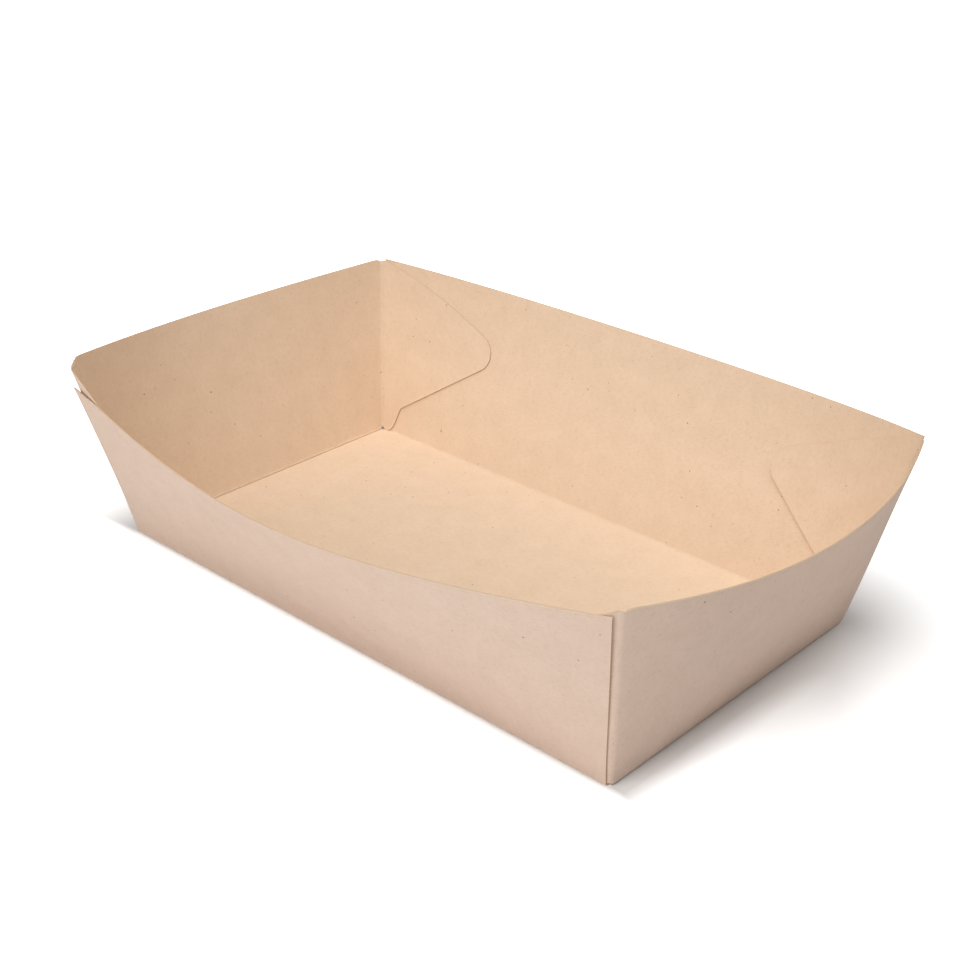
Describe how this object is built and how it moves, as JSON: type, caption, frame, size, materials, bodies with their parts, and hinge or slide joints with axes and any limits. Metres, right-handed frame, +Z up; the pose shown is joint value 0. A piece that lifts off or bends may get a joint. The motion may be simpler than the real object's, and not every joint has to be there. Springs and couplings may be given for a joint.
{
  "type": "folded board food tray",
  "caption": "Open boat-shaped food tray folded from one piece of brown kraft board, with bowed walls and a glued flap inside each corner.",
  "frame": {"origin": "middle of the flat underside of the base, on the surface that the tray stands on", "axes": "+X along the tray's length, +Y across it towards the back wall, +Z up"},
  "size_m": [0.2502, 0.1745, 0.0621],
  "materials": {
    "kraft_board": "uncoated brown kraft board, matte, with fine fibres and dark specks"
  },
  "bodies": {
    "root": {"tray": "kraft_board"}
  },
  "joints": []
}
